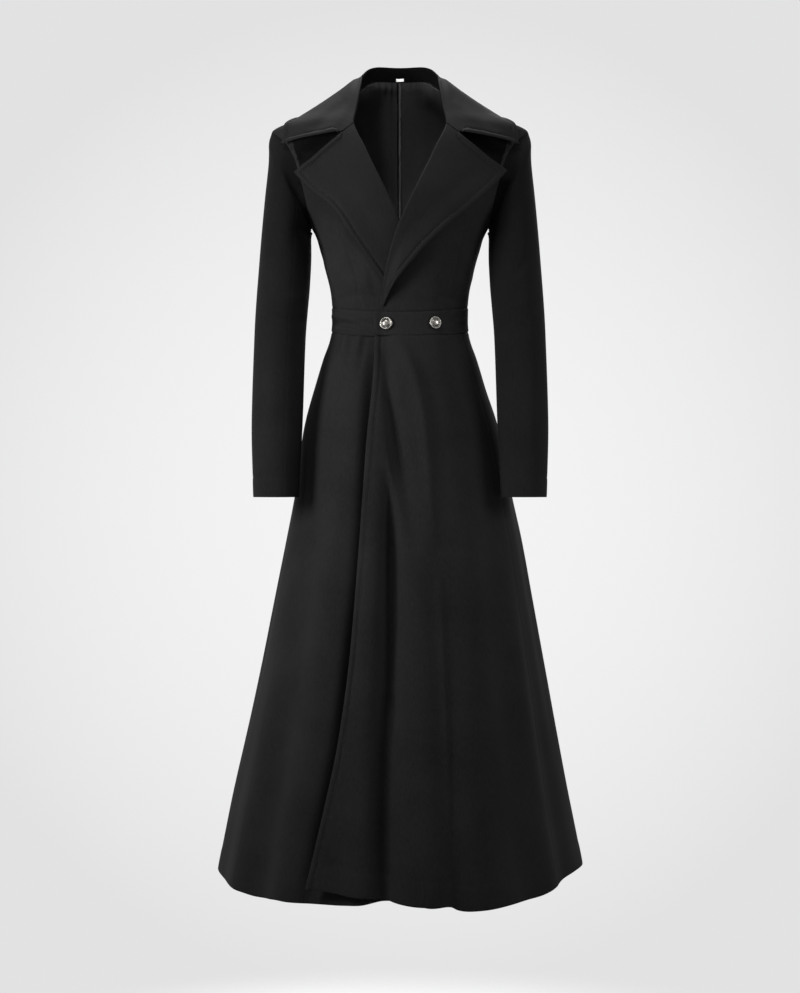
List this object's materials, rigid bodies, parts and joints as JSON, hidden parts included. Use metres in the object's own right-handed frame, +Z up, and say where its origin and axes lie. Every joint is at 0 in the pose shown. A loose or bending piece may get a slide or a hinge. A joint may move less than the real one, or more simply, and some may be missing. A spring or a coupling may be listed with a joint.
{
  "type": "long frock coat",
  "caption": "Long black double-breasted frock coat, worn and hollow, with wide notched collar and lapels, a waistband with metal buttons and a full flared skirt.",
  "frame": {"origin": "between the shoulders on the coat's middle plane, 5 mm below the neck end of the shoulder seams, where the wearer carries it", "axes": "+X towards the coat's left, -Y out of its front, +Z up"},
  "size_m": [0.6057, 0.6162, 1.3448],
  "materials": {
    "wool_cloth": "fine black wool cloth, matt with a soft nap",
    "facing_cloth": "black facing cloth, pressed, a little smoother",
    "satin_lining": "black satin lining, soft gloss",
    "old_silver": "old silver plated, dark in its rings",
    "white_tape": "white woven tape, blank"
  },
  "bodies": {
    "root": {"bodice_front_left": "wool_cloth", "bodice_front_right": "wool_cloth", "bodice_back_left": "wool_cloth", "bodice_back_right": "wool_cloth", "sleeve_upper_left": "wool_cloth", "sleeve_upper_right": "wool_cloth", "sleeve_under_left": "wool_cloth", "sleeve_under_right": "wool_cloth", "waistband_front_left": "wool_cloth", "waistband_front_right": "wool_cloth", "waistband_back": "wool_cloth", "skirt_front_left": "wool_cloth", "skirt_front_right": "wool_cloth", "skirt_back_left": "wool_cloth", "skirt_back_right": "wool_cloth", "collar": "facing_cloth", "lapel_left": "facing_cloth", "lapel_right": "facing_cloth", "lining_back_left": "satin_lining", "lining_back_right": "satin_lining", "button_inner": "old_silver", "button_outer": "old_silver", "label": "white_tape"}
  },
  "joints": []
}
